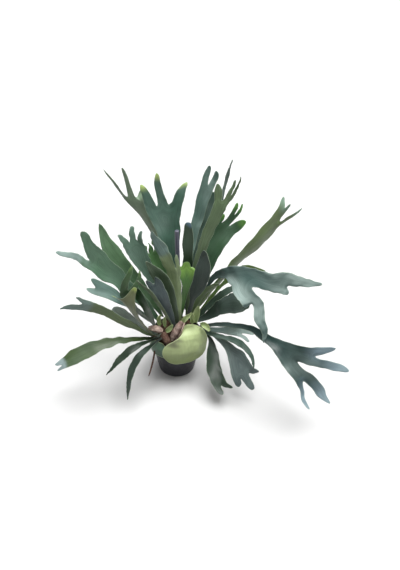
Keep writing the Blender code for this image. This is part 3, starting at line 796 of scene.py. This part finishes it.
def add_grid(rows, streak_rows, painted_shade_rows):
    made = [[mound.verts.new(p) for p in row] for row in rows]
    for row in streak_rows:
        streaks.extend(row)
    for row in painted_shade_rows:
        painted_shade_depths.extend(row)
    for first, second in zip(made, made[1:]):
        for s in range(len(first) - 1):
            mound.faces.new((first[s], first[s + 1], second[s + 1], second[s]))


CORE_SIDES, CORE_ROWS = 72, 20
core, core_streaks = [], []
for s in range(CORE_ROWS + 1):
    dents = [-1.5 * MM + 0.8 * MM * math.sin(7 * h + s) for h in range(CORE_SIDES + 1)]
    core.append([mound_point(math.tau * h / CORE_SIDES, s / CORE_ROWS, dent)
                 for h, dent in enumerate(dents)])
    core_streaks.append([(h * 0.9 * MM, s * 0.3 * MM, 0.4) for h in range(CORE_SIDES + 1)])
# The core gets a large depth: painted shade where it shows between the plates.
add_grid(core, core_streaks, [[0.75] * (CORE_SIDES + 1)] * (CORE_ROWS + 1))
print("mound core:", len(mound.faces), "faces")

# %% Plates of dead shield
LAYERS, PLATES = 5, 9          # plates in each layer
PLATE_ROWS, PLATE_COLUMNS = 8, 12
for layer_up in range(LAYERS):
    for n in range(PLATES):
        middle = math.tau * (n + 0.5 * (layer_up % 2) + dice.uniform(-0.15, 0.15)) / PLATES
        wide = dice.uniform(0.34, 0.46)
        foot, tall = 0.02 + 0.17 * layer_up, dice.uniform(0.24, 0.34)
        lift = dice.uniform(0.6, 1.6)
        rows, streak_rows, painted_shade_rows = [], [], []
        for v in range(PLATE_ROWS + 1):
            up = v / PLATE_ROWS
            row, streak_row, painted_shade_row = [], [], []
            for u in range(PLATE_COLUMNS + 1):
                across = u / PLATE_COLUMNS * 2 - 1
                ragged = 1 - 0.35 * across ** 4 + 0.05 * math.sin(9 * across + n * 2 + layer_up)
                share = min(0.99, foot + tall * up * ragged)
                out = (lift + 2.6 * up ** 3 * (1 + 0.3 * math.sin(5 * across + n))) * MM
                row.append(mound_point(middle + across * wide * (1 - 0.25 * up), share, out))
                streak_row.append((u * 1.4 * MM, v * 0.4 * MM, n * 0.01 + layer_up * 0.1))
                # Painted shade: each plate is darker towards its foot, under the plate above.
                painted_shade_row.append(0.35 - 0.35 * up + 0.1 * dice.uniform())
            rows.append(row)
            streak_rows.append(streak_row)
            painted_shade_rows.append(painted_shade_row)
        add_grid(rows, streak_rows, painted_shade_rows)
print("with plates:", len(mound.faces), "faces")

# %% Fur of scales
FUR_SCALES = 1500
for _ in range(FUR_SCALES):
    heading, share = dice.uniform(0, math.tau), dice.uniform(0.45, 1) ** 0.8
    base = mound_point(heading, min(share, 0.97), -0.5 * MM)
    lean = Vector((math.sin(heading), -math.cos(heading), 1.4)).normalized()
    lean = (lean + Vector(dice.normal(size=3)) * 0.35).normalized()
    side = lean.cross(Vector(dice.normal(size=3))).normalized() * dice.uniform(0.25, 0.5) * MM
    tall = dice.uniform(3, 8) * MM
    bend = Vector(dice.normal(size=3)) * 1.0 * MM
    waist, point = base + lean * tall * 0.6 + bend * 0.5, base + lean * tall + bend
    # Painted shade: each scale is darker towards its base.
    add_grid([[base - side, base + side], [waist - side * 0.7, waist + side * 0.7],
              [point - side * 0.08, point + side * 0.08]],
             [[(0, 0, 0), (1 * MM, 0, 0)]] * 3, [[0.3, 0.3], [0.15, 0.15], [0, 0]])
mound_mesh = bpy.data.meshes.new("mound")
mound.to_mesh(mound_mesh)
mound.free()
store(mound_mesh, "streak", streaks, "FLOAT_VECTOR")
store(mound_mesh, "depth", painted_shade_depths)
finished("rhizome_in_old_layers", mound_mesh, ["rhizome"], mound_paper)
print("mound:", len(mound_mesh.polygons), "faces")

# %% [markdown]
# ## Potting mix
# The mix is peat and composted bark: dark, damp crumbs from 1 to 8 mm. Damp peat is nearly black
# and quite matt. A rough disc with a turned-down edge carries the fine crumbs in its bump, and
# separate chips lie on it, because crumbs this large have to stand up and cast shadows of their
# own. The browner a chip is, the drier it is.

# %% Damp peat
peat, tree, shader = new_material("damp peat and bark")
crumb = grain(tree, 2.5 * MM, 6.0, 0.7)
tone = blend_colours(tree, between(tree, crumb, 0.35, 0.65), "#17110d", "#3f2d21")
chip = blend_colours(tree, read(tree, "chip"), tone, "#6b4a33")
tree.links.new(chip, shader.inputs["Base Color"])
set_inputs(shader, Roughness=0.9)
bumped(tree, shader, crumb, 1.2 * MM)
print("material:", peat.name)

# %% The surface of the mix
RINGS, SPOKES = 26, 90
soil_low, soil_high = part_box("potting_mix")
soil_radius = (soil_high.x - soil_low.x) / 2
mix = bmesh.new()
dice = np.random.default_rng(23)
centre_vert = mix.verts.new((0, 0, soil_high.z))
ring_verts = []
for r in range(1, RINGS + 1):
    ring = []
    for s in range(SPOKES):
        turn = math.tau * s / SPOKES
        reach = soil_radius * r / RINGS
        rough = 0.0 if r == RINGS else dice.uniform(-1.0, 0.8)
        ring.append(mix.verts.new((reach * math.cos(turn), reach * math.sin(turn),
                                   soil_high.z + (rough - 0.4) * MM)))
    ring_verts.append(ring)
foot = [mix.verts.new((v.co.x * 0.98, v.co.y * 0.98, soil_high.z - 6 * MM))
        for v in ring_verts[-1]]
for s in range(SPOKES):
    t = (s + 1) % SPOKES
    mix.faces.new((centre_vert, ring_verts[0][s], ring_verts[0][t]))
    for first, second in zip(ring_verts, ring_verts[1:] + [foot]):
        mix.faces.new((first[s], second[s], second[t], first[t]))
print("surface:", len(mix.faces), "faces")

# %% Loose chips of bark
CHIPS = 420
chips = [0.0] * len(mix.verts)
for _ in range(CHIPS):
    turn = dice.uniform(0, math.tau)
    reach = soil_radius * math.sqrt(dice.uniform(0.3, 0.93))
    size = dice.uniform(0.8, 3.2) * MM
    made = bmesh.ops.create_icosphere(mix, subdivisions=1, radius=size)
    stretch = dice.uniform(0.4, 1.3, size=3)
    spin = dice.uniform(0, math.pi)
    for vert in made["verts"]:
        x, y, z = (vert.co[k] * stretch[k] * dice.uniform(0.8, 1.2) for k in range(3))
        vert.co = (math.cos(turn) * reach + x * math.cos(spin) - y * math.sin(spin),
                   math.sin(turn) * reach + x * math.sin(spin) + y * math.cos(spin),
                   soil_high.z + z * 0.6)
    chips.extend([dice.uniform(0, 0.9)] * len(made["verts"]))
mix_mesh = bpy.data.meshes.new("mix")
mix.to_mesh(mix_mesh)
mix.free()
store(mix_mesh, "chip", chips)
finished("potting_mix_crumbs", mix_mesh, ["potting_mix"], peat)
print("potting mix:", len(mix_mesh.polygons), "faces")

# %% [markdown]
# ## The nursery pot
# The pot is injection-moulded polypropylene: a thin tapered shell with a thicker rim band and a
# raised foot ring. Moulded plastic is satin, with a faint grain from the mould and dust and water
# marks on it. The pot is round, so we draw half its section and turn it on a lathe, which keeps
# wall, band and foot in one skin. The section stops short of the axis and leaves one hole in the
# middle of the base. The six drain holes round it are in the plain solid only.

# %% Moulded black plastic
pot_plastic, tree, shader = new_material("moulded black polypropylene")
dusty = between(tree, grain(tree, 14 * MM, 5.0, 0.6), 0.45, 0.75, 0.0, 0.25)
tree.links.new(blend_colours(tree, dusty, "#191a21", "#2e3038"), shader.inputs["Base Color"])
satin = between(tree, grain(tree, 5 * MM), 0.3, 0.7, 0.4, 0.55)
tree.links.new(satin, shader.inputs["Roughness"])
set_inputs(shader, IOR=1.49)
bumped(tree, shader, grain(tree, 0.9 * MM), 0.05 * MM)
print("material:", pot_plastic.name)


# %% A lathe
def lathe(name, profile, steps=128):
    """A mesh turned about the z axis from a closed section of (radius, height) points."""
    ends = [(k, (k + 1) % len(profile)) for k in range(len(profile))]
    section = bpy.data.meshes.new(name)
    section.from_pydata([(r, 0, z) for r, z in profile], ends, [])
    obj = placed(name, section)
    screw = obj.modifiers.new("turn", "SCREW")
    screw.steps = screw.render_steps = steps
    screw.use_merge_vertices = True
    screw.merge_threshold = WELD
    screw.use_normal_calculate = True
    bevel = obj.modifiers.new("soft edges", "BEVEL")
    bevel.width = 0.35 * MM
    bevel.segments = 2
    bevel.limit_method = "ANGLE"
    return settled_mesh(obj)


print("lathe ready")

# %% Turn the pot
pot_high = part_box("pot")[1]
top_r, high = pot_high.x, pot_high.z
base_r = 43 * MM
band = high - 11 * MM  # the foot of the rim band
WALL = 1.6 * MM


def wall_r(z):
    """The outer radius of the tapered wall at height z."""
    return base_r + (top_r - 1.8 * MM - base_r) * z / band


outside = [(top_r - 0.6 * MM, high), (top_r, high - 0.9 * MM), (top_r - 0.15 * MM, high - 3.2 * MM),
           (top_r - 0.6 * MM, band + 0.8 * MM), (top_r - 0.9 * MM, band),
           (wall_r(band), band - 0.6 * MM), (wall_r(60 * MM), 60 * MM), (wall_r(9 * MM), 9 * MM),
           (wall_r(8 * MM) - 0.4 * MM, 8 * MM), (base_r - 0.3 * MM, 1.4 * MM)]
underneath = [(base_r - 1.4 * MM, 0), (base_r - 5 * MM, 0), (base_r - 6.5 * MM, 0.9 * MM),
              (4 * MM, 0.9 * MM), (4 * MM, 2.4 * MM)]
inside = [(base_r - WALL, 2.4 * MM), (wall_r(60 * MM) - WALL, 60 * MM),
          (wall_r(band) - WALL, band - 0.6 * MM), (top_r - 2.2 * MM, band + 1.2 * MM),
          (top_r - 2.1 * MM, high)]
pot_mesh = lathe("pot", outside + underneath + inside)
pot_obj = finished("nursery_pot", pot_mesh, ["pot"], pot_plastic)
pot_obj.data.set_sharp_from_angle(angle=SHARP)
print("pot:", len(pot_mesh.polygons), "faces")

# %% [markdown]
# ## The plant stake
# A plain extruded plastic stake stands behind the fronds. It is slate blue and satin. An extruded
# rod carries fine drawing lines along its length, so its noise is stretched along the rod, and it
# is turned on the same lathe with a rounded top and a blunt point.

# %% Extruded slate plastic
stake_plastic, tree, shader = new_material("extruded slate plastic")
place = node(tree, "ShaderNodeTexCoord")
stretched = node(tree, "ShaderNodeMapping", Vector=place.outputs["Object"], Scale=(1.0, 1.0, 0.03))
lines = node(tree, "ShaderNodeTexNoise", Vector=stretched.outputs[0], Scale=600.0,
             Detail=2.0).outputs[0]
drawn = blend_colours(tree, between(tree, lines, 0.3, 0.7), "#4a4b5a", "#626472")
tree.links.new(drawn, shader.inputs["Base Color"])
set_inputs(shader, Roughness=0.38, IOR=1.5)
bumped(tree, shader, lines, 0.08 * MM)
print("material:", stake_plastic.name)

# %% Turn the stake
DOME = 2 * MM  # height of the rounded top
stake_low, stake_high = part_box("plant_stake")
stake_mid = (stake_low + stake_high) / 2
stake_r = (stake_high.x - stake_low.x) / 2
angles = [math.radians(15 * k) for k in range(6, -1, -1)]
dome = [(stake_r * math.cos(a), stake_high.z - DOME + DOME * math.sin(a)) for a in angles]
tip = [(stake_r, stake_low.z + 4 * MM), (1 * MM, stake_low.z), (0, stake_low.z)]
stake_mesh = lathe("stake", dome + tip, steps=48)
move_points(stake_mesh, points_of(stake_mesh) + np.array([stake_mid.x, stake_mid.y, 0]))
finished("stake_rod", stake_mesh, ["plant_stake"], stake_plastic)
print("stake:", round((stake_high.z - stake_low.z) / MM), "mm")

# %% [markdown]
# ## Camera, floor and light
# The plant stands on a plain white sweep, looked down on from the front. A very large soft light
# high on the right, a weak one in front and an even surround give the flat, nearly shadowless
# light of a plant catalogue. The backdrop glows evenly and only the camera sees it, and the floor
# throws no light back on the plant, so neither greys or brightens the fronds.

# %% Camera
lens = bpy.data.cameras.new("camera")
lens.lens = 40
lens.sensor_width = 36
camera = placed("camera", lens)
camera.location = (0.0564, -1.1023, 1.1068)
camera.rotation_euler = (math.radians(52), 0, 0)
bpy.context.scene.camera = camera
print("camera at", [round(v, 2) for v in camera.location])

# %% Floor
FLOOR_HALF = 20  # metres
white, tree, shader = new_material("matt white sweep")
set_inputs(shader, Base_Color=(0.62, 0.62, 0.62, 1), Roughness=0.9, Specular_IOR_Level=0.1)
corners = [(-FLOOR_HALF, -FLOOR_HALF, 0), (FLOOR_HALF, -FLOOR_HALF, 0),
           (FLOOR_HALF, FLOOR_HALF, 0), (-FLOOR_HALF, FLOOR_HALF, 0)]
floor_mesh = bpy.data.meshes.new("floor")
floor_mesh.from_pydata(corners, [], [(0, 1, 2, 3)])
floor_mesh.materials.append(white)
floor = placed("floor", floor_mesh)
floor.location.z = -0.2 * MM
floor.visible_diffuse = False
print("floor:", 2 * FLOOR_HALF, "m wide")

# %% Backdrop
pale, tree, shader = new_material("pale paper backdrop")
set_inputs(shader, Base_Color=(0, 0, 0, 1), Specular_IOR_Level=0,
           Emission_Color=(0.93, 0.93, 0.93, 1), Emission_Strength=1)
wall = bmesh.new()
bmesh.ops.create_cone(wall, segments=64, radius1=9, radius2=9, depth=14)
wall_mesh = bpy.data.meshes.new("backdrop")
wall.to_mesh(wall_mesh)
wall.free()
wall_mesh.materials.append(pale)
backdrop = placed("backdrop", wall_mesh)
backdrop.visible_diffuse = backdrop.visible_glossy = backdrop.visible_shadow = False
print("backdrop:", len(wall_mesh.polygons), "faces")


# %% Lights
def soft_sun(name, place, towards, strength, width):
    """A very large far softbox: the same light everywhere, width degrees wide in the sky."""
    lamp = bpy.data.lights.new(name, "SUN")
    lamp.energy = strength
    lamp.angle = math.radians(width)
    holder = placed(name, lamp)
    holder.location = place
    aim = Vector(towards) - Vector(place)
    holder.rotation_euler = aim.to_track_quat("-Z", "Y").to_euler()


soft_sun("top_light", (0.45, 0.1, 2.5), (0, 0, 0.1), 5.1, 44)
soft_sun("front_fill", (0.3, -2.4, 1.7), (0, 0, 0.2), 0.3, 50)
world = bpy.data.worlds.new("surround")
world.use_nodes = True
surround = world.node_tree.nodes["Background"]
surround.inputs["Color"].default_value = (1.0, 1.0, 0.985, 1)
surround.inputs["Strength"].default_value = 0.24
bpy.context.scene.world = world
bpy.context.scene.view_settings.view_transform = "Standard"
